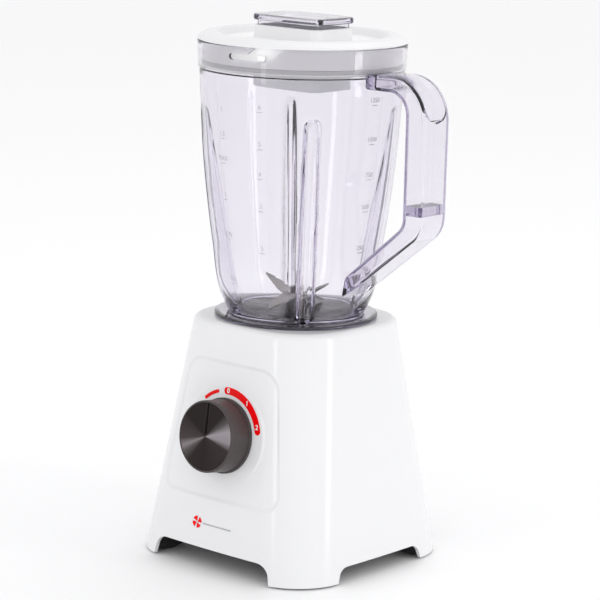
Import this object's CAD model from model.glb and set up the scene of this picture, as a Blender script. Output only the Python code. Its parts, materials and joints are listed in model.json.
import json
import math

import bmesh
import bpy
import numpy as np
from mathutils import Matrix, Vector


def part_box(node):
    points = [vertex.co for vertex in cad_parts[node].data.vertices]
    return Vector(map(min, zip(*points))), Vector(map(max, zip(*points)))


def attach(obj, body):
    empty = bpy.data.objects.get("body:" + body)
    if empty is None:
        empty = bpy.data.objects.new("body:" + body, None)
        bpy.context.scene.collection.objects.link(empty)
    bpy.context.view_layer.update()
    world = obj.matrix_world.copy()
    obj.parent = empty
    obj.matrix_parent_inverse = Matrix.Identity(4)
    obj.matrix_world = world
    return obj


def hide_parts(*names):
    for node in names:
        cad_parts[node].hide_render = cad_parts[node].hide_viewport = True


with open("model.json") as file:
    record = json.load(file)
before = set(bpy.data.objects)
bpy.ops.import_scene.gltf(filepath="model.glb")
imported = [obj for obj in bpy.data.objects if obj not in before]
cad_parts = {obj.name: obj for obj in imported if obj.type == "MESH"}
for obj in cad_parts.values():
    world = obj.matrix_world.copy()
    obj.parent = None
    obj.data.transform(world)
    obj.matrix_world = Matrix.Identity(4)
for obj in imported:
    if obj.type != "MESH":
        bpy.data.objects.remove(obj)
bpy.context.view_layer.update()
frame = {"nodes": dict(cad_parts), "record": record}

mm = 0.001
nodes = frame["nodes"]
finishes = {}


def unit(vector):
    vector = np.asarray(vector, float)
    return vector / np.linalg.norm(vector)


def smoothStep(value):
    # 0 below 0, 1 above 1, and a smooth S between them
    value = np.clip(value, 0.0, 1.0)
    return value * value * (3.0 - 2.0 * value)


def roundedLine(corners, radii, straightSteps=8, arcSteps=8):
    # straight runs joined by arcs: each corner's arc touches both runs, radius / tan(half the corner) from it
    corners = [np.asarray(corner, float) for corner in corners]
    pieces = []
    start = corners[0]
    for before, corner, after, radius in zip(corners, corners[1:], corners[2:], radii):
        towardsBefore, towardsAfter = unit(before - corner), unit(after - corner)
        half = math.acos(np.clip(towardsBefore @ towardsAfter, -1, 1)) / 2
        reach = radius / math.tan(half)
        arcStart = corner + towardsBefore * reach
        centre = corner + unit(towardsBefore + towardsAfter) * radius / math.sin(half)
        share = np.linspace(0, 1, straightSteps, endpoint=False)[:, None]
        pieces.append(start + (arcStart - start) * share)
        if radius > 0:
            across = unit(arcStart - centre)
            ahead = -towardsBefore
            turn = np.linspace(0, math.pi - 2 * half, arcSteps, endpoint=False)[:, None]
            pieces.append(centre + radius * (across * np.cos(turn) + ahead * np.sin(turn)))
        start = corner + towardsAfter * reach
    share = np.linspace(0, 1, straightSteps + 1)[:, None]
    pieces.append(start + (corners[-1] - start) * share)
    return np.concatenate(pieces)


def closedRound(corners, radii, straightSteps=6, arcSteps=6):
    # the same for a closed outline: it starts and ends in the middle of the last side
    corners = [np.asarray(corner, float) for corner in corners]
    middle = (corners[-1] + corners[0]) / 2
    line = roundedLine([middle, *corners, middle], radii, straightSteps, arcSteps)
    return line[:-1]


def smoothRadius(height, knots):
    # radius as a cubic through the knots, with each knot's slope taken from its neighbours
    radii, heights = np.array(knots, float).T
    slopes = np.gradient(radii, heights)
    place = np.clip(np.searchsorted(heights, height) - 1, 0, len(heights) - 2)
    span = heights[place + 1] - heights[place]
    t = (height - heights[place]) / span
    return (
        (2 * t**3 - 3 * t**2 + 1) * radii[place]
        + (t**3 - 2 * t**2 + t) * span * slopes[place]
        + (3 * t**2 - 2 * t**3) * radii[place + 1]
        + (t**3 - t**2) * span * slopes[place + 1]
    )


def gridFaces(rows, columns, closedRows, closedColumns):
    row = np.arange(rows if closedRows else rows - 1)
    column = np.arange(columns if closedColumns else columns - 1)
    row, column = np.meshgrid(row, column, indexing="ij")
    nextRow, nextColumn = (row + 1) % rows, (column + 1) % columns
    corners = [row * columns + column, row * columns + nextColumn]
    corners += [nextRow * columns + nextColumn, nextRow * columns + column]
    return np.stack(corners, -1).reshape(-1, 4).tolist()


def gridMesh(name, grid, closedRows=False, closedColumns=True, capEnds=False):
    # a sheet of points in mm, row by row, as a mesh in metres with its doubles merged and its faces outwards
    rows, columns = grid.shape[:2]
    faces = gridFaces(rows, columns, closedRows, closedColumns)
    if capEnds:
        first = list(range(columns))
        faces += [first[::-1], [index + (rows - 1) * columns for index in first]]
    return tidyMesh(name, grid.reshape(-1, 3) * mm, faces)


def tidyMesh(name, points, faces):
    mesh = bpy.data.meshes.new(name)
    mesh.from_pydata(points.tolist(), [], faces)
    work = bmesh.new()
    work.from_mesh(mesh)
    bmesh.ops.remove_doubles(work, verts=work.verts, dist=1e-6)
    bmesh.ops.dissolve_degenerate(work, edges=work.edges, dist=1e-7)
    bmesh.ops.recalc_face_normals(work, faces=work.faces)
    work.to_mesh(mesh)
    work.free()
    return mesh


def revolveGrid(profile, steps=180):
    # each profile point (radius, height) carried round the drive axis
    turn = np.arange(steps) * 2 * math.pi / steps
    radius, height = profile[:, :1], profile[:, 1:]
    return np.stack([radius * np.cos(turn), radius * np.sin(turn), height + 0 * turn], -1)


def putInPlace(mesh, place):
    mesh.transform(place)
    mesh.update()
    return mesh


def newObject(name, mesh):
    thing = bpy.data.objects.new(name, mesh)
    bpy.context.scene.collection.objects.link(thing)
    return thing


def addPiece(name, mesh, finish, body, standsFor=(), sharp=32):
    mesh.shade_smooth()
    mesh.set_sharp_from_angle(angle=math.radians(sharp))
    mesh.materials.clear()
    mesh.materials.append(finishes[finish])
    piece = newObject(name, mesh)
    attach(piece, body)
    if standsFor:
        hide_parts(*standsFor)
    return piece


def combine(target, tool, operation):
    # one solid joined to, or cut out of, another
    step = target.modifiers.new("combine", "BOOLEAN")
    step.operation = operation
    step.solver = "MANIFOLD"
    step.object = tool
    bpy.context.view_layer.update()
    view = bpy.context.evaluated_depsgraph_get()
    result = bpy.data.meshes.new_from_object(target.evaluated_get(view))
    target.modifiers.clear()
    old = target.data
    target.data = result
    bpy.data.meshes.remove(old)
    bpy.data.objects.remove(tool)
    return target


def joinMeshes(name, meshes):
    work = bmesh.new()
    for mesh in meshes:
        work.from_mesh(mesh)
    joined = bpy.data.meshes.new(name)
    work.to_mesh(joined)
    work.free()
    return joined


def textMesh(name, words, size, depth, weight=0.0):
    # flat letters as a mesh, centred, in mm: x right, y up, z out
    curve = bpy.data.curves.new(name, "FONT")
    curve.body = words
    curve.size = size
    curve.align_x = "CENTER"
    curve.align_y = "CENTER"
    curve.extrude = depth / 2
    curve.offset = weight
    curve.resolution_u = 6
    holder = newObject(name, curve)
    bpy.context.view_layer.update()
    view = bpy.context.evaluated_depsgraph_get()
    mesh = bpy.data.meshes.new_from_object(holder.evaluated_get(view))
    bpy.data.objects.remove(holder)
    return mesh


# ---- finishes

def startFinish(name, colour, roughness, **sockets):
    material = bpy.data.materials.new(name)
    material.use_nodes = True
    shader = material.node_tree.nodes["Principled BSDF"]
    shader.inputs["Base Color"].default_value = (*colour, 1)
    shader.inputs["Roughness"].default_value = roughness
    for socket, value in sockets.items():
        shader.inputs[socket.replace("_", " ")].default_value = value
    material.diffuse_color = (*colour, 1)
    finishes[name] = material
    return material, material.node_tree, shader


def addNode(tree, kind, **settings):
    node = tree.nodes.new(kind)
    for key, value in settings.items():
        if key in node.inputs:
            node.inputs[key].default_value = value
        else:
            setattr(node, key, value)
    return node


def objectSpace(tree, stretch=(1, 1, 1), move=(0, 0, 0), turn=(0, 0, 0)):
    place = addNode(tree, "ShaderNodeTexCoord")
    mapping = addNode(tree, "ShaderNodeMapping")
    mapping.inputs["Location"].default_value = move
    mapping.inputs["Rotation"].default_value = turn
    mapping.inputs["Scale"].default_value = stretch
    tree.links.new(place.outputs["Object"], mapping.inputs["Vector"])
    return mapping.outputs["Vector"]


def grain(tree, shader, scale, strength, distance, stretch=(1, 1, 1), spread=None):
    # a noise field in object space lifts the surface a little and, with spread, varies the gloss
    vector = objectSpace(tree, stretch)
    noise = addNode(tree, "ShaderNodeTexNoise", Scale=scale, Detail=3.0)
    tree.links.new(vector, noise.inputs["Vector"])
    bump = addNode(tree, "ShaderNodeBump", Strength=strength, Distance=distance)
    tree.links.new(noise.outputs["Fac"], bump.inputs["Height"])
    tree.links.new(bump.outputs["Normal"], shader.inputs["Normal"])
    if spread:
        gloss = addNode(tree, "ShaderNodeMapRange")
        gloss.inputs["To Min"].default_value = spread[0]
        gloss.inputs["To Max"].default_value = spread[1]
        tree.links.new(noise.outputs["Fac"], gloss.inputs["Value"])
        tree.links.new(gloss.outputs["Result"], shader.inputs["Roughness"])


plasticLooks = {
    # name: colour, roughness, grain scale, bump strength, bump distance, gloss spread
    "white_casing": ((0.80, 0.80, 0.81), 0.14, 260, 0.02, 0.00002, (0.12, 0.16)),
    "white_lid": ((0.80, 0.80, 0.81), 0.26, 320, 0.03, 0.00002, (0.24, 0.28)),
    "black_plastic": ((0.012, 0.012, 0.013), 0.50, 900, 0.5, 0.0002, (0.45, 0.6)),
    "dark_plastic": ((0.022, 0.021, 0.024), 0.12, 55, 0.6, 0.004, (0.08, 0.16)),
    "coupling_plastic": ((0.03, 0.03, 0.03), 0.42, 800, 0.3, 0.0001, (0.38, 0.5)),
    "foot_rubber": ((0.02, 0.02, 0.02), 0.75, 1200, 0.5, 0.0002, (0.7, 0.85)),
    "black_rubber": ((0.015, 0.015, 0.015), 0.6, 1200, 0.4, 0.0002, (0.55, 0.7)),
    "seal_rubber": ((0.62, 0.62, 0.64), 0.5, 900, 0.2, 0.0001, (0.45, 0.6)),
    "carbon": ((0.02, 0.02, 0.022), 0.65, 1500, 0.5, 0.0001, (0.6, 0.75)),
}
for finishName, (colour, roughness, scale, strength, distance, spread) in plasticLooks.items():
    material, tree, shader = startFinish(finishName, colour, roughness)
    grain(tree, shader, scale, strength, distance, spread=spread)

metalLooks = {
    # name: colour, roughness, grain scale, stretch of the grain, bump strength, gloss spread
    "zinc_steel": ((0.60, 0.60, 0.58), 0.35, 300, (1, 1, 1), 0.2, (0.3, 0.45)),
    "bearing_steel": ((0.58, 0.58, 0.60), 0.22, 300, (1, 1, 30), 0.1, (0.18, 0.3)),
    "cast_aluminium": ((0.66, 0.66, 0.68), 0.45, 260, (1, 1, 1), 0.6, (0.4, 0.55)),
    "brass_parts": ((0.72, 0.50, 0.20), 0.30, 300, (1, 1, 20), 0.15, (0.25, 0.38)),
    "polished_steel": ((0.60, 0.59, 0.60), 0.08, 200, (1, 1, 8), 0.05, (0.05, 0.12)),
    "blade_steel": ((0.36, 0.34, 0.33), 0.2, 240, (8, 1, 1), 0.12, (0.16, 0.26)),
    "lamination_steel": ((0.20, 0.20, 0.22), 0.5, 60, (1, 1, 60), 0.6, (0.45, 0.6)),
    "copper_winding": ((0.60, 0.24, 0.08), 0.35, 80, (1, 1, 12), 0.8, (0.3, 0.42)),
}
for finishName, (colour, roughness, scale, stretch, strength, spread) in metalLooks.items():
    material, tree, shader = startFinish(finishName, colour, roughness, Metallic=1.0)
    grain(tree, shader, scale, strength, 0.0002, stretch=stretch, spread=spread)


def rampColour(tree, shader, value, stops):
    # the colour at each share of the value, straight between the stops
    ramp = addNode(tree, "ShaderNodeValToRGB")
    for _ in stops[2:]:
        ramp.color_ramp.elements.new(0.5)
    for element, (position, colour) in zip(ramp.color_ramp.elements, stops):
        element.position = position
        element.color = (*colour, 1)
    tree.links.new(value, ramp.inputs["Fac"])
    tree.links.new(ramp.outputs["Color"], shader.inputs["Base Color"])
    return ramp


def turnShare(tree, vector):
    # angle round the axis as a share of a full turn, 0.5 on the second axis
    split = addNode(tree, "ShaderNodeSeparateXYZ")
    tree.links.new(vector, split.inputs["Vector"])
    around = addNode(tree, "ShaderNodeMath", operation="ARCTAN2")
    tree.links.new(split.outputs["X"], around.inputs[0])
    tree.links.new(split.outputs["Y"], around.inputs[1])
    share = addNode(tree, "ShaderNodeMath", operation="MULTIPLY_ADD")
    share.inputs[1].default_value = 0.5 / math.pi
    share.inputs[2].default_value = 0.5
    tree.links.new(around.outputs[0], share.inputs[0])
    return split, share.outputs[0]


# polished steel: bright and dark bands in turn round the drive axis, as a mirror in a studio shows them
steelBands = (
    (0.00, (0.10, 0.09, 0.09)),
    (0.08, (0.75, 0.74, 0.74)),
    (0.13, (0.05, 0.045, 0.045)),
    (0.20, (0.80, 0.79, 0.79)),
    (0.26, (0.06, 0.05, 0.05)),
    (0.40, (0.55, 0.54, 0.54)),
    (0.55, (0.08, 0.07, 0.07)),
    (0.66, (0.70, 0.69, 0.69)),
    (0.76, (0.05, 0.04, 0.04)),
    (0.84, (0.04, 0.035, 0.035)),
    (0.875, (0.95, 0.94, 0.94)),
    (0.91, (0.05, 0.045, 0.045)),
    (1.00, (0.10, 0.09, 0.09)),
)


def bandSteel():
    tree = finishes["polished_steel"].node_tree
    rampColour(tree, tree.nodes["Principled BSDF"], turnShare(tree, objectSpace(tree))[1], steelBands)


bandSteel()

# white lid: the skirt under the rim, which only shows through the clear band, is a lighter white
lidWhites = {"skirt": (0.95, 0.95, 0.955), "top": (0.80, 0.80, 0.81), "change": 0.3665, "soft": 0.0005}


def whitenSkirt():
    tree = finishes["white_lid"].node_tree
    split = addNode(tree, "ShaderNodeSeparateXYZ")
    tree.links.new(objectSpace(tree), split.inputs["Vector"])
    level = addNode(tree, "ShaderNodeMapRange")
    level.inputs["From Min"].default_value = lidWhites["change"] - lidWhites["soft"]
    level.inputs["From Max"].default_value = lidWhites["change"] + lidWhites["soft"]
    tree.links.new(split.outputs["Z"], level.inputs["Value"])
    stops = ((0.0, lidWhites["skirt"]), (1.0, lidWhites["top"]))
    rampColour(tree, tree.nodes["Principled BSDF"], level.outputs["Result"], stops)


whitenSkirt()

material, tree, shader = startFinish("knob_plastic", (0.062, 0.050, 0.050), 0.42, Metallic=0.3)
grain(tree, shader, 260, 0.3, 0.0002, stretch=(1, 9, 1), spread=(0.34, 0.5))

printLooks = {
    # name: colour, roughness, shine, grain scale, bump strength, gloss spread
    "dial_print": ((0.86, 0.0, 0.002), 0.35, 0.15, 700, 0.08, (0.28, 0.38)),
    "dialWhite": ((0.88, 0.88, 0.88), 0.35, 0.5, 700, 0.08, (0.3, 0.4)),
    "printGrey": ((0.42, 0.42, 0.44), 0.4, 0.5, 700, 0.08, (0.35, 0.45)),
    "markGrey": ((0.50, 0.485, 0.53), 0.45, 0.5, 500, 0.1, (0.4, 0.5)),
}
for finishName, (colour, roughness, shine, scale, strength, spread) in printLooks.items():
    material, tree, shader = startFinish(finishName, colour, roughness, Specular_IOR_Level=shine)
    grain(tree, shader, scale, strength, 0.00005, spread=spread)

clearLook = {"colour": (0.99, 0.985, 0.995), "absorb": (0.20, 0.10, 0.40), "density": 33.0}


def clearPlastic(name, roughness):
    # clear moulding: light bends at its skin and is taken up evenly inside, green a little more than blue
    material, tree, shader = startFinish(name, clearLook["colour"], roughness, IOR=1.49)
    shader.inputs["Transmission Weight"].default_value = 1.0
    inside = addNode(tree, "ShaderNodeVolumeAbsorption", Density=clearLook["density"])
    inside.inputs["Color"].default_value = (*clearLook["absorb"], 1)
    output = tree.nodes["Material Output"]
    tree.links.new(inside.outputs["Volume"], output.inputs["Volume"])
    vector = objectSpace(tree)
    noise = addNode(tree, "ShaderNodeTexNoise", Scale=38.0, Detail=1.5)
    tree.links.new(vector, noise.inputs["Vector"])
    bump = addNode(tree, "ShaderNodeBump", Strength=0.12, Distance=0.0004)
    tree.links.new(noise.outputs["Fac"], bump.inputs["Height"])
    tree.links.new(bump.outputs["Normal"], shader.inputs["Normal"])


clearPlastic("clear_plastic", 0.012)
print("finishes ready:", len(finishes))

# ---- motor casing

casing = {
    "bottomHalf": 83.0,
    "topHalf": 60.0,
    "bow": 3.0,
    "bottomCorner": 40.5,
    "topCorner": 41.0,
    "wall": 2.5,
    "deckRound": 5.0,
    "lowerEdge": 1.5,
    "frontArch": (54.0, 15.3, 11.0),
    "sideArch": (43.5, 11.6, 9.0),
    "archSlope": 1.0,
    "archFade": 0.3,
    "flangeHole": 54.3,
    "flangeDepth": 1.5,
    "wellHole": 49.3,
    "gridLevels": (0.27, 0.92),
    "sideSteps": (120, 64, 64, 64),
    "cornerSteps": (80, 34, 34, 80),
    "panelFrom": 51.3,
    "panelTo": 146.9,
    "panelLow": 54.7,
    "panelHigh": 40.9,
    "panelCorner": 13.0,
    "panelDepth": 1.2,
    "panelSoft": 2.6,
    "dialPlace": 96.5,
    "dialRadius": 36.4,
    "dialDepth": 1.3,
}
casing["height"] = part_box("housing")[1].z / mm
casing["slope"] = math.atan2(casing["bottomHalf"] - casing["topHalf"], casing["height"])


def casingColumns():
    # which side each column of points is on, whether it is on a corner, and how far along
    quarter, onCorner, along = [], [], []
    for side, (steps, cornerSteps) in enumerate(zip(casing["sideSteps"], casing["cornerSteps"])):
        quarter += [side] * (steps + cornerSteps)
        onCorner += [False] * steps + [True] * cornerSteps
        along += list(np.linspace(-1, 1, steps))
        along += list(np.linspace(0, 1, cornerSteps + 2)[1:-1])
    return np.array(quarter), np.array(onCorner), np.array(along)


quarter, onCorner, along = casingColumns()


def casingPoint(height, inset):
    # bowed square with round corners: a side is an arc of a big circle, a corner an arc about the diagonal
    share = height / casing["height"]
    half = casing["bottomHalf"] + (casing["topHalf"] - casing["bottomHalf"]) * share - inset
    corner = casing["bottomCorner"] + (casing["topCorner"] - casing["bottomCorner"]) * share - inset
    big = (half**2 + casing["bow"] ** 2) / (2 * casing["bow"])
    middle = big - half - casing["bow"]
    diagonal = (-middle + np.sqrt(2 * (big - corner) ** 2 - middle**2)) / 2
    reach = np.arctan2(diagonal, diagonal + middle)
    sideTurn = reach * along
    cornerTurn = reach + (math.pi / 2 - 2 * reach) * along
    x = np.where(onCorner, diagonal + corner * np.sin(cornerTurn), big * np.sin(sideTurn))
    y = np.where(onCorner, -diagonal - corner * np.cos(cornerTurn), middle - big * np.cos(sideTurn))
    turn = quarter * math.pi / 2
    return x * np.cos(turn) - y * np.sin(turn), x * np.sin(turn) + y * np.cos(turn)


def archHeight(across, half, height, shoulder):
    # flat top, an arc at each shoulder, and straight legs that lean outwards
    lean = math.atan2(height + casing["archSlope"], 2 * casing["archSlope"])
    top = half - casing["archSlope"]
    arcStart = top - shoulder * math.tan(lean / 2)
    arcEnd = arcStart + shoulder * math.sin(lean)
    across = np.abs(across)
    arc = height - shoulder + np.sqrt(np.clip(shoulder**2 - (across - arcStart) ** 2, 0, None))
    leg = (top - across) * math.tan(lean) + height
    return np.where(across < arcStart, height, np.where(across < arcEnd, arc, leg))


def lowerEdge():
    # the higher of the two arches that pass under each point, and never below the casing's foot
    edge = np.full(len(along), casing["lowerEdge"])
    for _ in range(4):
        x, y = casingPoint(edge, 0.0)
        edge = np.maximum(archHeight(x, *casing["frontArch"]), archHeight(y, *casing["sideArch"]))
        edge = np.maximum(casing["lowerEdge"], edge)
    return edge


def facePlane(distance, side):
    # frame on the middle of the front or back: x across, y up the slope, z out
    tilt = casing["slope"]
    height = distance * math.cos(tilt)
    out = casing["bottomHalf"] + casing["bow"] - height * math.tan(tilt)
    return Matrix(
        (
            (-side, 0, 0, 0),
            (0, -side * math.sin(tilt), side * math.cos(tilt), side * out * mm),
            (0, math.cos(tilt), math.sin(tilt), height * mm),
            (0, 0, 0, 1),
        )
    )


dialPlace = facePlane(casing["dialPlace"], -1)


def panelMask(across, up):
    # soft-edged panel with round corners that narrows upwards, from its distance to a rounded box
    share = (up - casing["panelFrom"]) / (casing["panelTo"] - casing["panelFrom"])
    half = casing["panelLow"] + (casing["panelHigh"] - casing["panelLow"]) * share
    centre = (casing["panelFrom"] + casing["panelTo"]) / 2
    tall = (casing["panelTo"] - casing["panelFrom"]) / 2
    dx = np.abs(across) - half + casing["panelCorner"]
    dy = np.abs(up - centre) - tall + casing["panelCorner"]
    outside = np.hypot(np.maximum(dx, 0), np.maximum(dy, 0)) + np.minimum(np.maximum(dx, dy), 0)
    return 1 - smoothStep((outside - casing["panelCorner"]) / casing["panelSoft"] + 0.5)


def buildCasing():
    height, slope, fillet = casing["height"], casing["slope"], casing["deckRound"]
    edge = lowerEdge()
    filletStart = height - fillet + fillet * math.sin(slope)
    low, high = casing["gridLevels"]
    levels = np.concatenate([np.linspace(0, low, 18, endpoint=False), np.linspace(low, high, 124)])
    levels = np.concatenate([levels, np.linspace(high, 1, 7)[1:]])[:, None]
    foot = casing["lowerEdge"]
    lift = (edge - foot) * (1 - smoothStep(levels / casing["archFade"]))
    wallHeights = foot + (filletStart - foot) * levels + lift
    x, y = casingPoint(wallHeights, 0.0)
    outer = np.stack([x, y, wallHeights], -1)

    # dial recess and panel pressed into the front, along the face's normal
    normal = np.array([0, -math.cos(slope), math.sin(slope)])
    upwards = np.array([0, math.sin(slope), math.cos(slope)])
    origin = np.array(dialPlace.translation) / mm
    out = (outer - origin) @ normal
    up = (outer - origin) @ upwards + casing["dialPlace"]
    across = outer[..., 0]
    onFront = outer[..., 1] < -0.8 * np.abs(across)
    dial = 1 - smoothStep((np.hypot(across, up - casing["dialPlace"]) - casing["dialRadius"] + 0.7) / 1.6)
    panel = panelMask(across, up) * (1 - dial)
    press = np.where(onFront, dial * (-casing["dialDepth"] - out) - panel * casing["panelDepth"], 0)
    outer = outer + press[..., None] * normal

    # rounding to the deck: an arc that touches the sloping side and the deck
    turn = np.linspace(slope, math.pi / 2, 10)[1:, None]
    filletHeights = height - fillet + fillet * np.sin(turn)
    centreIn = fillet / math.cos(slope)
    sideAt = casing["bottomHalf"] - (height - fillet) * math.tan(slope)
    halfWanted = sideAt - centreIn + fillet * np.cos(turn)
    inset = casing["bottomHalf"] - filletHeights * math.tan(slope) - halfWanted
    x, y = casingPoint(filletHeights + 0 * along, inset + 0 * along)
    rounding = np.stack([x, y, filletHeights + 0 * x], -1)

    # deck, well hole and the inside of the wall
    rim = rounding[-1]
    direction = np.arctan2(rim[:, 1], rim[:, 0])

    def ring(radius, level):
        return np.stack([radius * np.cos(direction), radius * np.sin(direction), 0 * direction + level], -1)

    share = np.array([0.35, 0.7])[:, None, None]
    deck = rim + (ring(casing["flangeHole"], height) - rim) * share
    ledge = height - casing["flangeDepth"]
    under = height - casing["wall"]
    hole = np.stack(
        [
            ring(casing["flangeHole"] + 0.3, height),
            ring(casing["flangeHole"], height - 0.3),
            ring(casing["flangeHole"], ledge),
            ring(casing["wellHole"], ledge),
            ring(casing["wellHole"], under),
        ]
    )
    innerLevels = np.linspace(1, 0, 12)[:, None]
    innerHeights = edge + (under - edge) * innerLevels
    x, y = casingPoint(innerHeights, casing["wall"])
    inner = np.stack([x, y, innerHeights], -1)
    grid = np.concatenate([outer, rounding, deck, hole, inner])
    return gridMesh("casingShell", grid, closedRows=True)


addPiece("casingShell", buildCasing(), "white_casing", "base", ["housing"], sharp=40)
print("casing shell ready")

# ---- dial print and knob

dialLook = {
    "radius": 31.3,
    "width": 5.0,
    "thickness": 0.3,
    "from": -3.3,
    "to": 74.9,
    "pulseFrom": -41.0,
    "pulseTo": -19.0,
    "pulseWidth": 2.4,
    "numbers": (("0", -0.6), ("1", 35.0), ("2", 69.8)),
    "numberSize": 4.8,
    "numberWeight": 0.12,
    "numberThick": 0.12,
    "numberGap": 0.04,
}


def arcPlate(name, radius, width, fromTurn, toTurn, bottom, thickness):
    # flat band along an arc with round ends: across runs -1..1, and the ends follow a half circle
    grow = math.degrees(width / 2 / radius)
    along01 = np.linspace(0, 1, 90)[:, None]
    turnAt = np.radians(fromTurn - grow + (toTurn - fromTurn + 2 * grow) * along01)
    endGap = np.minimum(turnAt - turnAt[0], turnAt[-1] - turnAt) * radius
    half = np.sqrt(np.clip(1 - np.clip(1 - endGap / (width / 2), 0, 1) ** 2, 0, 1)) * width / 2
    side = np.array([-1, 1, 1, -1])
    level = np.array([0, 0, 1, 1]) * thickness + bottom
    reach = radius + half * side
    grid = np.stack([reach * np.sin(turnAt), reach * np.cos(turnAt), level + 0 * reach], -1)
    return putInPlace(gridMesh(name, grid), dialPlace)


def buildDial():
    look, floor = dialLook, -casing["dialDepth"]
    bands = (
        ("speedBand", look["width"], look["from"], look["to"]),
        ("pulseBand", look["pulseWidth"], look["pulseFrom"], look["pulseTo"]),
    )
    arcs = [arcPlate(name, look["radius"], *band, floor, look["thickness"]) for name, *band in bands]
    addPiece("dialBands", joinMeshes("dialBands", arcs), "dial_print", "base", ["dial_scale"])
    level = floor + look["thickness"] + look["numberGap"]
    for number, turn in look["numbers"]:
        mesh = textMesh("dialNumber" + number, number, look["numberSize"], look["numberThick"],
                        look["numberWeight"])
        angle = math.radians(turn)
        spot = Vector((look["radius"] * math.sin(angle), look["radius"] * math.cos(angle), level))
        local = Matrix.Translation(spot * mm) @ Matrix.Scale(mm, 4)
        putInPlace(mesh, dialPlace @ local)
        addPiece("dialNumber" + number, mesh, "dialWhite", "base", sharp=60)


buildDial()

knobLook = {
    "radius": 25.3,
    "skirt": 26.4,
    "skirtHeight": 2.2,
    "foot": -1.0,
    "reach": 18.0,
    "edge": 0.9,
    "faceRadius": 23.6,
    "faceDepth": 0.5,
    "pointer": 1.8,
    "pointerFrom": 2.0,
    "pointerDepth": 0.42,
}


def buildKnob():
    # body: a turned profile with a skirt, a rounded rim and a shallow seat for the face plate
    look = knobLook
    skirtTop = look["foot"] + look["skirtHeight"]
    corners = [
        (0, look["foot"]),
        (look["skirt"], look["foot"]),
        (look["skirt"], skirtTop),
        (look["radius"], skirtTop),
        (look["radius"] - 0.25, look["reach"]),
        (look["faceRadius"], look["reach"]),
        (look["faceRadius"], look["reach"] - look["faceDepth"]),
        (0, look["reach"] - look["faceDepth"]),
    ]
    profile = roundedLine(corners, [0.3, 0.5, 0.3, look["edge"], 0.15, 0.0], 4, 6)
    mesh = putInPlace(gridMesh("knobBody", revolveGrid(profile, 160)), dialPlace)
    addPiece("knobBody", mesh, "knob_plastic", "knob", ["knob"])
    # face plate: flat disc with a groove along the pointer line, deeper where |x| is less than half its width
    low = look["reach"] - look["faceDepth"]
    turn = np.arange(240) * 2 * math.pi / 240
    rim = look["faceRadius"]
    radii = np.concatenate([np.linspace(0, rim - 0.35, 60), [rim - 0.05]])[:, None]
    x, y = radii * np.sin(turn), radii * np.cos(turn)
    groove = smoothStep((look["pointer"] / 2 + 0.25 - np.abs(x)) / 0.5) * (y > look["pointerFrom"])
    level = look["reach"] - 0.04 - groove * look["pointerDepth"]
    level[-1] = look["reach"] - 0.3
    top = np.stack([x, y, level], -1)
    base = np.stack([x[-1], y[-1], 0 * turn + low + 0.02], -1)[None]
    mesh = putInPlace(gridMesh("knobFacePlate", np.concatenate([top, base])), dialPlace)
    addPiece("knobFacePlate", mesh, "knob_metal", "knob", ["knob_face"], sharp=50)


spunLook = {
    # share of a full turn, 0.5 at the pointer and clockwise upwards, and the metal's colour there
    "wedges": (
        (0.0, (0.030, 0.024, 0.023)),
        (0.10, (0.034, 0.027, 0.026)),
        (0.15, (0.11, 0.095, 0.095)),
        (0.178, (0.25, 0.22, 0.23)),
        (0.215, (0.07, 0.058, 0.058)),
        (0.31, (0.045, 0.036, 0.035)),
        (0.345, (0.028, 0.022, 0.022)),
        (0.61, (0.030, 0.024, 0.023)),
        (0.655, (0.10, 0.088, 0.09)),
        (0.70, (0.33, 0.30, 0.32)),
        (0.755, (0.28, 0.25, 0.27)),
        (0.795, (0.045, 0.036, 0.035)),
        (1.0, (0.030, 0.024, 0.023)),
    ),
    "pointerColour": (0.008, 0.006, 0.006),
}


def spunMetal():
    # turned rings as waves of the distance from the knob's axis, bright wedges and a dark pointer line
    material, tree, shader = startFinish("knob_metal", spunLook["wedges"][1][1], 0.3, Metallic=1.0)
    inverse = dialPlace.inverted()
    mapping = objectSpace(tree, move=tuple(inverse.translation), turn=tuple(inverse.to_euler()))
    split, share = turnShare(tree, mapping)
    distance = addNode(tree, "ShaderNodeVectorMath", operation="LENGTH")
    tree.links.new(mapping, distance.inputs[0])
    noise = addNode(tree, "ShaderNodeTexNoise", Scale=2600.0, Detail=2.0, noise_dimensions="1D")
    tree.links.new(distance.outputs["Value"], noise.inputs["W"])
    bump = addNode(tree, "ShaderNodeBump", Strength=0.25, Distance=0.0001)
    tree.links.new(noise.outputs["Fac"], bump.inputs["Height"])
    tree.links.new(bump.outputs["Normal"], shader.inputs["Normal"])
    aside = addNode(tree, "ShaderNodeMath", operation="ABSOLUTE")
    tree.links.new(split.outputs["X"], aside.inputs[0])
    ramp = rampColour(tree, shader, share, spunLook["wedges"])
    onLine = addNode(tree, "ShaderNodeMath", operation="LESS_THAN")
    onLine.inputs[1].default_value = knobLook["pointer"] / 2 * mm
    tree.links.new(aside.outputs[0], onLine.inputs[0])
    upper = addNode(tree, "ShaderNodeMath", operation="GREATER_THAN")
    upper.inputs[1].default_value = knobLook["pointerFrom"] * mm
    tree.links.new(split.outputs["Y"], upper.inputs[0])
    both = addNode(tree, "ShaderNodeMath", operation="MULTIPLY")
    tree.links.new(onLine.outputs[0], both.inputs[0])
    tree.links.new(upper.outputs[0], both.inputs[1])
    mix = addNode(tree, "ShaderNodeMix", data_type="RGBA")
    mix.inputs["B"].default_value = (*spunLook["pointerColour"], 1)
    tree.links.new(both.outputs[0], mix.inputs["Factor"])
    tree.links.new(ramp.outputs["Color"], mix.inputs["A"])
    tree.links.new(mix.outputs["Result"], shader.inputs["Base Color"])


spunMetal()
buildKnob()
print("dial and knob ready")

# ---- jug with its handle

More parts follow.
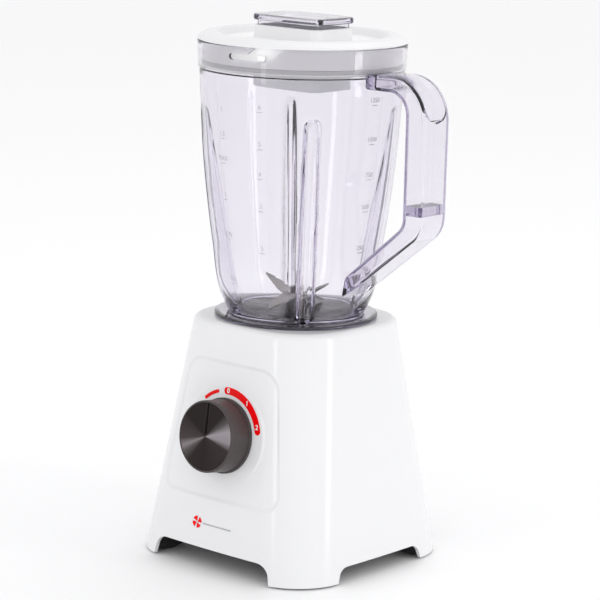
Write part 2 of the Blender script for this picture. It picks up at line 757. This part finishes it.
jugLook = {
    "wall": 2.8,
    "outline": [(48.0, 174.4), (53.0, 185.5), (60.1, 224.0), (67.0, 278.0), (71.3, 342.0)],
    "floor": 177.0,
    "footSeat": 47.5,
    "bendTop": 186.0,
    "neckRadius": 42.0,
    "neckInner": 39.0,
    "bandBottom": 346.9,
    "bandTop": 365.7,
    "bandFoot": 72.3,
    "bandRim": 73.2,
    "bandInner": 71.2,
    "ribAngles": (-132.0, -42.0, 48.0, 138.0),
    "ribRadius": 6.0,
    "ribLow": (45.3, 178.0),
    "ribHigh": (71.0, 320.0),
    "ribSteps": 40,
    "plainSteps": 34,
    "slotOutline": [(-1.2, 356.8), (22.0, 356.8), (33.0, 366.6), (16.3, 366.6), (11.0, 361.3), (-1.2, 361.3)],
    "slotRadii": [2.2, 1.5, 0.0, 0.0, 2.0, 2.2],
}
jugLook["neckBottom"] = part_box("jug")[0].z / mm
wallFoot = jugLook["outline"][0][1]
wallTop = jugLook["outline"][-1][1]
innerKnots = [(jugLook["outline"][0][0] - jugLook["wall"], jugLook["floor"])]
innerKnots += [(radius - jugLook["wall"], height) for radius, height in jugLook["outline"][1:]]


def jugTurns():
    # angles round the jug, packed closely across each rib
    reach = math.radians(10.5)
    turns = []
    for middle in np.radians(jugLook["ribAngles"]):
        turns.append(middle + np.linspace(-reach, reach, jugLook["ribSteps"], endpoint=False))
        plain = (middle + reach, middle + math.pi / 2 - reach)
        turns.append(np.linspace(*plain, jugLook["plainSteps"], endpoint=False))
    return np.concatenate(turns)


def ribDepth(turn, height, radius, flat, ramp):
    # depth of the rib at a point of the wall: full on its middle line, falling to nothing over the ramp
    lowR, lowZ = jugLook["ribLow"]
    highR, highZ = jugLook["ribHigh"]
    axis = lowR + (highR - lowR) * (height - lowZ) / (highZ - lowZ)
    nearest = np.radians(jugLook["ribAngles"])[:, None]
    gap = np.abs((turn - nearest + math.pi) % (2 * math.pi) - math.pi).min(0)
    aside = radius * np.sin(np.minimum(gap, 1.2))
    above = np.maximum(0, height - (highZ - jugLook["ribRadius"]))
    away = np.hypot(aside, above)
    return axis, 1 - smoothStep((away - flat) / ramp)


def jugGrid():
    turn = jugTurns()
    look = jugLook
    bend = look["bendTop"]
    lowHeights = np.linspace(wallFoot, bend, 12, endpoint=False)
    outerHeights = np.concatenate([lowHeights, np.linspace(bend, wallTop, 96)])
    outerRadii = smoothRadius(outerHeights, look["outline"])
    innerHeights = np.linspace(wallTop, look["floor"], 100)
    innerRadii = smoothRadius(innerHeights, innerKnots)
    topRadius = look["outline"][-1][0]
    bandCorners = [
        (topRadius, wallTop),
        (topRadius, look["bandBottom"]),
        (look["bandFoot"], look["bandBottom"]),
        (look["bandRim"], look["bandTop"]),
        (look["bandInner"], look["bandTop"]),
        (look["bandInner"], look["bandBottom"] - 0.2),
        (innerKnots[-1][0] + 0.2, look["bandBottom"] - 1.2),
        innerKnots[-1],
    ]
    band = roundedLine(bandCorners, [0.4, 0.4, 0.8, 0.7, 0.3, 0.6], 4, 5)[1:-1]
    footCorners = [
        (innerRadii[-1] - 0.5, look["floor"]),
        (look["neckInner"], look["floor"]),
        (look["neckInner"], look["neckBottom"]),
        (look["neckRadius"], look["neckBottom"]),
        (look["neckRadius"], wallFoot),
        (look["footSeat"], wallFoot),
    ]
    foot = roundedLine(footCorners, [0.6, 0.4, 0.4, 0.5], 3, 4)
    radius = np.concatenate([outerRadii, band[:, 0], innerRadii, foot[:, 0]])[:, None] + 0 * turn
    height = np.concatenate([outerHeights, band[:, 1], innerHeights, foot[:, 1]])[:, None] + 0 * turn
    kind = np.array([0] * len(outerRadii) + [1] * len(band) + [2] * len(innerRadii) + [3] * len(foot))

    axis, share = ribDepth(turn, height, radius, 2.6, 4.0)
    bottom = np.maximum(axis - look["ribRadius"], look["neckInner"] + 0.4)
    ridge = radius - share * np.maximum(radius - bottom, 0)
    axis, share = ribDepth(turn, height, radius, 1.1, 3.2)
    bottom = np.maximum(axis - look["ribRadius"] + look["wall"], look["neckRadius"] + 0.5)
    groove = radius - share * np.maximum(radius - bottom, 0)
    kind = kind[:, None] + 0 * turn
    radius = np.where(kind == 2, ridge, np.where(kind == 0, groove, radius))
    radius[-1:] = np.minimum(radius[-1:], groove[:1])
    return np.stack([radius * np.cos(turn), radius * np.sin(turn), height], -1)


handleLook = {
    "half": 14.0,
    "round": 3.0,
    "wall": 2.5,
    "outer": [(60.0, 349.0), (121.7, 351.0), (121.3, 246.0), (46.0, 186.5)],
    "outerRounds": [30.0, 20.0],
    "inner": [(60.0, 338.8), (104.3, 338.8), (104.5, 249.5), (46.0, 200.0)],
    "innerRounds": [15.0, 12.0],
    "hollowStart": 78.0,
    "hollowFloor": 262.0,
    "lowerHollow": (259.5, 63.0),
    "coverHalf": 11.5,
    "coverTip": 320.0,
    "coverGap": 0.08,
}
outerLine = roundedLine(handleLook["outer"], handleLook["outerRounds"], 30, 24)
innerLine = roundedLine(handleLook["inner"], handleLook["innerRounds"], 30, 24)


def barGrid(outerEdge, innerEdge, halfWidth, corner):
    # a bar between two lines: each section is a box with round corners, from the inner to the outer line
    turn = np.radians(np.linspace(0, 90, 7))
    arcX, arcY = corner * (1 - np.cos(turn)), corner * (1 - np.sin(turn))
    side = np.concatenate([-np.ones(7), -np.ones(7), np.ones(7), np.ones(7)])
    inX = np.concatenate([arcX[::-1], arcX, arcX[::-1], arcX])
    atOuter = np.concatenate([np.zeros(7), np.ones(7), np.ones(7), np.zeros(7)])
    offY = np.concatenate([arcY[::-1], -arcY, -arcY[::-1], arcY])
    across = outerEdge - innerEdge
    depth = np.linalg.norm(across, axis=1, keepdims=True)
    inward = across / depth
    y = side * (halfWidth[:, None] - inX)
    place = atOuter * depth + offY
    x = innerEdge[:, :1] + inward[:, :1] * place
    z = innerEdge[:, 1:] + inward[:, 1:] * place
    return np.stack([x, y, z], -1)


def handleBar(name, fromIndex, toIndex, inset, halfWidth, corner, outInset=None, onlySkin=None):
    # inset moves both lines into the bar; onlySkin keeps a plate of that thickness under the outer line
    across = outerLine - innerLine
    inward = across / np.linalg.norm(across, axis=1, keepdims=True)
    outer = outerLine - inward * (inset if outInset is None else outInset)
    inner = innerLine + inward * inset if onlySkin is None else outerLine - inward * onlySkin
    rows = slice(fromIndex, toIndex)
    width = halfWidth[rows] if np.ndim(halfWidth) else np.full(toIndex - fromIndex, halfWidth)
    return gridMesh(name, barGrid(outer[rows], inner[rows], width, corner), capEnds=True)


def cutAway(target, mesh):
    return combine(target, newObject(mesh.name, mesh), "DIFFERENCE")


def tipWidth(half, tip):
    # half width of the cover: full, then a half circle towards its tip down the grip
    down = outerLine[:, 1] - tip
    onGrip = outerLine[:, 0] > 100
    inside = np.clip(1 - np.clip(1 - down / half, 0, 1) ** 2, 0.0004, 1)
    return np.where(onGrip & (down < half), half * np.sqrt(inside), half)


def buildJug():
    look, grip = jugLook, handleLook
    body = newObject("jugBody", gridMesh("jugBody", jugGrid(), closedRows=True))
    print("jug wall ready:", len(body.data.polygons))

    bar = newObject("jugGrip", handleBar("jugGrip", 0, len(outerLine), 0.0, grip["half"], grip["round"]))
    hollowStart = int(np.argmax(outerLine[:, 0] >= grip["hollowStart"]))
    hollowEnd = int(np.argmax((innerLine[:, 1] <= grip["hollowFloor"]) & (innerLine[:, 0] > 90)))
    lowStart = int(np.argmax((innerLine[:, 1] <= grip["lowerHollow"][0]) & (innerLine[:, 0] > 90)))
    lowEnd = len(outerLine) - int(np.argmax(outerLine[::-1, 0] >= grip["lowerHollow"][1]))
    for name, start, end in (("gripHollow", hollowStart, hollowEnd), ("armHollow", lowStart, lowEnd)):
        cutAway(bar, handleBar(name, start, end, grip["wall"], grip["half"] - grip["wall"], 1.0))
    coverEnd = int(np.argmax((outerLine[:, 1] <= grip["coverTip"]) & (outerLine[:, 0] > 100))) + 1
    gap = grip["coverGap"]
    width = tipWidth(grip["coverHalf"], outerLine[coverEnd - 1, 1])
    window = handleBar("coverWindow", hollowStart, coverEnd, 0.0, width + gap, 0.05, -1.0, grip["wall"] + 0.3)
    cutAway(bar, window)
    thick = grip["wall"] - 0.02
    cover = handleBar("gripCover", hollowStart + 1, coverEnd - 1, 0.0, width - gap, 0.25, 0.02, thick)

    # the bar is trimmed to the middle of the wall before the two become one solid
    heights = np.linspace(176, 345, 60)
    trim = np.stack([smoothRadius(heights, look["outline"]) - 1.2, heights], -1)
    trim = np.concatenate([[(0, 170)], [(46, 170)], trim, [(70.4, 347)], [(71.2, 360)], [(0, 360)]])
    cutAway(bar, gridMesh("trim", revolveGrid(trim, 200)))
    combine(body, bar, "UNION")
    print("handle joined:", len(body.data.polygons))

    for half in range(2):
        outline = closedRound(look["slotOutline"], look["slotRadii"], 3, 6)
        turn = np.radians(outline[:, 0] - 90 + 180 * half)
        sheets = [np.stack([r * np.cos(turn), r * np.sin(turn), outline[:, 1]], -1) for r in (66.0, 80.0)]
        cutAway(body, gridMesh("lockSlot", np.stack(sheets), capEnds=True))
    mesh = body.data
    bpy.data.objects.remove(body)
    addPiece("jugWithHandle", mesh, "clear_plastic", "jug", ["jug", "handle"])
    addPiece("gripCover", cover, "clear_plastic", "jug", ["handle_cover"])


buildJug()
print("jug ready")

collarLook = {
    "corners": [(33.0, 155.0), (45.0, 155.0), (45.0, 171.7), (57.7, 171.7), (57.7, 174.2), (42.3, 174.2),
                (42.3, 157.5), (33.0, 157.5)],
    "rounds": [0.5, 0.8, 0.5, 1.0, 1.0, 0.4, 0.3, 0.5],
}
collarProfile = closedRound(collarLook["corners"], collarLook["rounds"], 3, 5)
collarMesh = gridMesh("jugCollar", revolveGrid(collarProfile, 180), closedRows=True)
addPiece("jugCollar", collarMesh, "clear_plastic", "jug", ["jug_collar"])

# ---- lid

lidLook = {
    "radius": 73.3,
    "edgeBottom": 366.2,
    "edgeTop": 367.6,
    "crest": (64.0, 371.5),
    "dish": (50.0, 364.7),
    "thickness": 2.5,
    "skirtOuter": 69.4,
    "skirtInner": 67.2,
    "skirtBottom": 347.6,
    "bossHalf": (30.5, 21.2),
    "bossCorner": 7.0,
    "bossTop": 375.7,
    "bossWall": 2.0,
    "chuteBottom": 333.0,
    "lugTurn": 19.2,
    "lugHalf": 1.9,
    "lugBottom": 357.25,
    "lugHeight": 3.6,
    "lugReach": 72.4,
}


def boxRadius(turn, halfX, halfY, corner):
    # distance from the middle to a box with round corners, in a direction
    c, s = np.abs(np.cos(turn)), np.abs(np.sin(turn))
    flat = np.minimum(halfX / np.maximum(c, 1e-9), halfY / np.maximum(s, 1e-9))
    qx, qy = halfX - corner, halfY - corner
    along = c * qx + s * qy
    arc = along + np.sqrt(np.clip(along**2 - qx**2 - qy**2 + corner**2, 0, None))
    return np.where((flat * c > qx) & (flat * s > qy), arc, flat)


def buildLid():
    # rows run from the skirt's foot over the top and down into the chute; the dish blends into the boss
    look = lidLook
    turn = np.arange(360) * 2 * math.pi / 360
    top = roundedLine(
        [
            (look["skirtOuter"], look["edgeBottom"]),
            (look["radius"], look["edgeBottom"]),
            (look["radius"], look["edgeTop"]),
            (look["crest"][0] + 5, look["crest"][1] - 1.1),
            look["crest"],
            (look["crest"][0] - 4, look["crest"][1] - 0.4),
            (look["dish"][0] + 3, look["dish"][1] + 0.2),
            (look["dish"][0] - 2, look["dish"][1]),
        ],
        [0.3, 0.6, 4.0, 8.0, 3.0, 3.0],
        5,
        7,
    )
    rings = [np.stack([r * np.cos(turn), r * np.sin(turn), z + 0 * turn], -1) for r, z in top]
    halfX, halfY = look["bossHalf"]

    def bossRing(shrink, level):
        radius = boxRadius(turn, halfX - shrink, halfY - shrink, look["bossCorner"] - shrink)
        return np.stack([radius * np.cos(turn), radius * np.sin(turn), level + 0 * turn], -1)

    floor = look["dish"][1]
    outside = [bossRing(-1.2, floor), bossRing(-0.35, floor + 0.35), bossRing(0, floor + 1.2)]
    outside += [bossRing(0.15, look["bossTop"] - 1.3), bossRing(0.55, look["bossTop"] - 0.4)]
    outside += [bossRing(1.3, look["bossTop"]), bossRing(look["bossWall"], look["bossTop"])]
    bottom = look["chuteBottom"]
    chute = [bossRing(look["bossWall"], bottom + 0.3), bossRing(look["bossWall"] - 0.3, bottom)]
    chute += [bossRing(0.3, bottom), bossRing(0.0, bottom + 0.3), bossRing(0.0, floor - look["thickness"])]
    below = [
        (look["dish"][0] - 2, floor - look["thickness"]),
        (look["dish"][0] + 3, floor - look["thickness"]),
        (look["crest"][0] - 3, look["crest"][1] - look["thickness"] - 0.6),
        (look["skirtInner"], look["edgeBottom"] + 1.0),
        (look["skirtInner"], look["skirtBottom"] + 0.4),
        (look["skirtInner"] + 0.4, look["skirtBottom"]),
        (look["skirtOuter"] - 0.4, look["skirtBottom"]),
        (look["skirtOuter"], look["skirtBottom"] + 0.4),
    ]
    under = [np.stack([r * np.cos(turn), r * np.sin(turn), z + 0 * turn], -1) for r, z in below]
    shell = gridMesh("lidShell", np.stack(rings + outside + chute + under), closedRows=True)
    lugs = []
    for half in range(2):
        middle = math.radians(look["lugTurn"] - 90 + 180 * half)
        lugTurn = middle + np.radians(np.linspace(-look["lugHalf"], look["lugHalf"], 6))[:, None]
        root, tip = look["skirtOuter"] - 1, look["lugReach"]
        low, high = look["lugBottom"], look["lugBottom"] + look["lugHeight"]
        corners = [(root, low), (tip, low), (tip, high), (root, high)]
        section = closedRound(corners, [0.1, 0.4, 0.4, 0.1], 2, 4)
        reach, level = section[:, 0], section[:, 1]
        grid = np.stack([reach * np.cos(lugTurn), reach * np.sin(lugTurn), level + 0 * lugTurn], -1)
        lugs.append(gridMesh("lidLug", grid, capEnds=True))
    addPiece("lidShell", joinMeshes("lidShell", [shell, *lugs]), "white_lid", "lid", ["lid"])


buildLid()

capLook = {
    "flangeHalf": (31.7, 20.7),
    "bow": 1.6,
    "corner": 8.0,
    "flangeBottom": 379.0,
    "top": 383.0,
    "edge": 1.3,
    "neckHalf": (28.1, 18.8),
    "neckCorner": 4.6,
    "wall": 1.7,
    "neckBottom": 350.0,
}


def buildCap():
    # rows run from the middle of the top, over the flange, down the neck and back up inside it
    look = capLook
    turn = np.arange(320) * 2 * math.pi / 320

    def bowedRing(shrink, level, share=1.0):
        halfX, halfY = look["flangeHalf"]
        radius = boxRadius(turn, halfX - shrink, halfY - shrink, max(look["corner"] - shrink, 0.8)) * share
        x, y = radius * np.cos(turn), radius * np.sin(turn)
        x, y = (
            x * (1 + look["bow"] / halfX * (1 - np.clip(y / halfY, -1, 1) ** 2)),
            y * (1 + look["bow"] / halfY * (1 - np.clip(x / halfX, -1, 1) ** 2)),
        )
        return np.stack([x, y, level + 0 * turn], -1)

    def neckRing(shrink, level, share=1.0):
        halfX, halfY = look["neckHalf"]
        radius = boxRadius(turn, halfX - shrink, halfY - shrink, look["neckCorner"] - shrink) * share
        return np.stack([radius * np.cos(turn), radius * np.sin(turn), level + 0 * turn], -1)

    edge, top = look["edge"], look["top"]
    arc = np.radians(np.linspace(90, 0, 7))
    rows = [bowedRing(edge, top, share) for share in (0.0, 0.5, 0.8, 0.93)]
    rows += [bowedRing(edge * (1 - math.cos(a)), top - edge * (1 - math.sin(a))) for a in arc]
    rows += [bowedRing(0.0, look["flangeBottom"] + 0.5), bowedRing(0.5, look["flangeBottom"])]
    rows += [neckRing(-0.6, look["flangeBottom"]), neckRing(0, look["flangeBottom"] - 0.6)]
    bottom = look["neckBottom"]
    rows += [neckRing(0, bottom + 0.4), neckRing(0.4, bottom)]
    rows += [neckRing(look["wall"] - 0.4, bottom), neckRing(look["wall"], bottom + 0.4)]
    ceiling = top - look["wall"]
    rows += [neckRing(look["wall"], ceiling - 0.8), neckRing(look["wall"] + 0.8, ceiling)]
    rows += [neckRing(look["wall"] + 0.8, ceiling, share) for share in (0.5, 0.0)]
    mesh = gridMesh("measuringCap", np.stack(rows))
    addPiece("measuringCap", mesh, "clear_plastic", "cap", ["measuring_cap"])


buildCap()
print("lid and cap ready")

# ---- marks: measure lines on the jug, and a small generic sign on the front

markLook = {
    # angle round the jug, then each mark's height, its words and the length of its line
    "leftAngle": -99.0,
    "leftMarks": ((322.0, "1", 0.0), (305.0, "1.5", 5.0), (288.0, "MAX", 5.0), (262.5, "1", 3.5),
                  (234.5, "0.75", 3.5), (203.0, "0.5", 3.5)),
    "middleAngle": -72.0,
    "middleMarks": ((326.0, "6", 4.0), (300.5, "5", 4.0), (280.0, "4", 4.0), (257.5, "3", 4.0),
                    (228.0, "2", 4.0)),
    "rightAngle": -3.5,
    "rightMarks": ((331.0, "1250", 5.0), (304.0, "1000", 5.0), (279.5, "750", 5.0), (257.0, "500", 5.0),
                   (228.0, "250", 5.0)),
    "size": 4.6,
    "height": 0.12,
    "gap": 0.03,
    "lineDrop": 3.6,
    "lineWidth": 0.5,
}


def flatBar(name, points, thickness):
    # a thin plate over a closed outline, in mm: x right, y up, z out
    points = np.asarray(points, float)
    sheets = [np.column_stack([points, np.full(len(points), level)]) for level in (0.0, thickness)]
    mesh = gridMesh(name, np.stack(sheets), capEnds=True)
    mesh.transform(Matrix.Scale(1 / mm, 4))
    return mesh


def wrapOnJug(mesh, angle, middle):
    # the flat mark bent round the jug: x becomes an angle, z the distance off the wall
    count = len(mesh.vertices)
    flat = np.empty(count * 3)
    mesh.vertices.foreach_get("co", flat)
    flat = flat.reshape(-1, 3)
    height = middle + flat[:, 1]
    wall = smoothRadius(height, jugLook["outline"])
    turn = math.radians(angle) + flat[:, 0] / wall
    reach = wall + markLook["gap"] + flat[:, 2] - flat[:, 2].min()
    round3 = np.column_stack([reach * np.cos(turn), reach * np.sin(turn), height]) * mm
    mesh.vertices.foreach_set("co", round3.ravel())
    mesh.update()
    return mesh


def buildMarks():
    meshes = []
    for side in ("left", "middle", "right"):
        angle = markLook[side + "Angle"]
        for height, words, length in markLook[side + "Marks"]:
            label = textMesh("markLabel", words, markLook["size"], markLook["height"])
            meshes.append(wrapOnJug(label, angle, height))
            if length:
                x = np.linspace(-length / 2, length / 2, 8)
                low = np.column_stack([x, 0 * x])
                outline = np.concatenate([low, low[::-1] + (0, markLook["lineWidth"])])
                line = flatBar("markLine", outline, markLook["height"])
                meshes.append(wrapOnJug(line, angle, height - markLook["lineDrop"]))
    marks = joinMeshes("jugMarks", meshes)
    addPiece("jugMarks", marks, "markGrey", "jug", sharp=60)


buildMarks()

signLook = {
    "place": 32.0,
    "wheelAt": (-15.0, 0.5),
    "wheelReach": 4.2,
    "sails": 4,
    "lineFrom": -9.5,
    "lineTo": 17.0,
    "lineWidth": 0.9,
    "height": 0.15,
}


def buildSign():
    # a small four-sailed wheel in red and a thin grey line beside it, on the front below the dial
    look = signLook
    flat = facePlane(look["place"], -1)
    away = Matrix.Translation((0, 0, 0.02 * mm)) @ Matrix.Scale(mm, 4)
    sails = []
    for index in range(look["sails"]):
        start = index * 2 * math.pi / look["sails"]
        turn = start + np.radians(np.linspace(0, 62, 8))
        rim = look["wheelReach"] * np.column_stack([np.cos(turn), np.sin(turn)])
        hub = 0.5 * np.array([[math.cos(start), math.sin(start)]])
        outline = np.concatenate([hub, rim]) + look["wheelAt"]
        sails.append(putInPlace(flatBar("sail", outline, look["height"]), flat @ away))
    addPiece("frontWheel", joinMeshes("frontWheel", sails), "dial_print", "base", sharp=60)
    low, high = look["lineFrom"], look["lineTo"]
    x = np.linspace(low, high, 12)
    line = np.column_stack([x, 0 * x])
    outline = np.concatenate([line, line[::-1] + (0, look["lineWidth"])])
    mesh = flatBar("frontLine", outline, look["height"])
    addPiece("frontLine", putInPlace(mesh, flat @ away), "printGrey", "base", sharp=60)


buildSign()
print("marks ready")

# ---- every other CAD node takes its slot's finish

for entry in frame["record"]["subparts"]:
    node = nodes[entry["node"]]
    node.data.materials.clear()
    node.data.materials.append(finishes[entry["material_slot"]])

# ---- floor, light and camera

stageLook = {
    "floorSize": 24.0,
    "floorColour": (0.95, 0.95, 0.955),
    "world": 1.05,
    "worldRamp": ((0.05, (0.84, 0.84, 0.85)), (0.85, (1.03, 1.03, 1.03))),
    "softboxes": (
        # name, place, aim, size in metres, power in watts
        ("keyLight", (-1.1, -1.5, 1.6), (0, 0, 0.2), (0.9, 0.9), 1.2),
        ("rightLight", (1.64, 0.44, 0.4), (0, 0, 0.12), (0.28, 1.5), 4.5),
        ("frontStrip", (-0.02, -1.6, 0.5), (0, 0, 0.14), (0.16, 0.9), 1.3),
        ("topLight", (-0.2, 0.9, 2.0), (0, 0, 0.3), (1.2, 1.2), 3.0),
    ),
}


def buildStage():
    half = stageLook["floorSize"] / 2
    share = np.linspace(-half, half, 3)
    x, y = np.meshgrid(share, share)
    grid = np.stack([x, y, 0 * x], -1) / mm
    mesh = gridMesh("floor", grid, closedColumns=False)
    material, tree, shader = startFinish("floorPaper", stageLook["floorColour"], 0.6)
    grain(tree, shader, 40, 0.02, 0.0005)
    mesh.materials.append(material)
    floor = newObject("floor", mesh)
    if floor.data.polygons[0].normal.z < 0:
        floor.data.flip_normals()


def addSoftbox(name, place, aim, size, power):
    light = bpy.data.lights.new(name, "AREA")
    light.shape = "RECTANGLE"
    light.size, light.size_y = size
    light.energy = power
    lamp = newObject(name, light)
    lamp.location = place
    lamp.rotation_euler = (Vector(aim) - Vector(place)).to_track_quat("-Z", "Y").to_euler()


def buildWorld():
    world = bpy.data.worlds.new("studio")
    world.use_nodes = True
    bpy.context.scene.world = world
    tree = world.node_tree
    background = tree.nodes["Background"]
    background.inputs["Strength"].default_value = stageLook["world"]
    place = addNode(tree, "ShaderNodeTexCoord")
    split = addNode(tree, "ShaderNodeSeparateXYZ")
    tree.links.new(place.outputs["Generated"], split.inputs["Vector"])
    side = addNode(tree, "ShaderNodeMapRange")
    side.inputs["From Min"].default_value = -1.0
    tree.links.new(split.outputs["X"], side.inputs["Value"])
    ramp = addNode(tree, "ShaderNodeValToRGB")
    for element, (position, colour) in zip(ramp.color_ramp.elements, stageLook["worldRamp"]):
        element.position = position
        element.color = (*colour, 1)
    tree.links.new(side.outputs["Result"], ramp.inputs["Fac"])
    tree.links.new(ramp.outputs["Color"], background.inputs["Color"])


cameraLook = {
    "azimuth": 41.5,
    "place": (1.1907, -1.3459, 0.5455),
    "yaw": 0.0015,
    "pitch": -0.1997,
    "roll": 0.0256,
    "lens": 155.49,
}


def buildCamera():
    turn = math.radians(cameraLook["azimuth"])
    right = Vector((math.cos(turn), math.sin(turn), 0))
    ahead = Vector((-math.sin(turn), math.cos(turn), 0))
    up = Vector((0, 0, 1))
    yaw, pitch, roll = cameraLook["yaw"], cameraLook["pitch"], cameraLook["roll"]
    level = right * math.sin(yaw) + ahead * math.cos(yaw)
    forward = level * math.cos(pitch) + up * math.sin(pitch)
    side = forward.cross(up).normalized()
    top = side.cross(forward)
    side, top = side * math.cos(roll) + top * math.sin(roll), top * math.cos(roll) - side * math.sin(roll)
    camera = bpy.data.cameras.new("camera")
    camera.sensor_width = 36.0
    camera.lens = cameraLook["lens"]
    camera.clip_start = 0.05
    camera.clip_end = 60.0
    holder = newObject("camera", camera)
    basis = Matrix((side, top, -forward)).transposed().to_4x4()
    holder.matrix_world = Matrix.Translation(Vector(cameraLook["place"])) @ basis
    bpy.context.scene.camera = holder


buildStage()
buildWorld()
buildCamera()
for softbox in stageLook["softboxes"]:
    addSoftbox(*softbox)
scene = bpy.context.scene
scene.view_settings.view_transform = "Standard"
scene.cycles.use_denoising = True
scene.cycles.max_bounces = 32
scene.cycles.transmission_bounces = 28
scene.cycles.glossy_bounces = 8
scene.cycles.transparent_max_bounces = 16
print("stage ready")
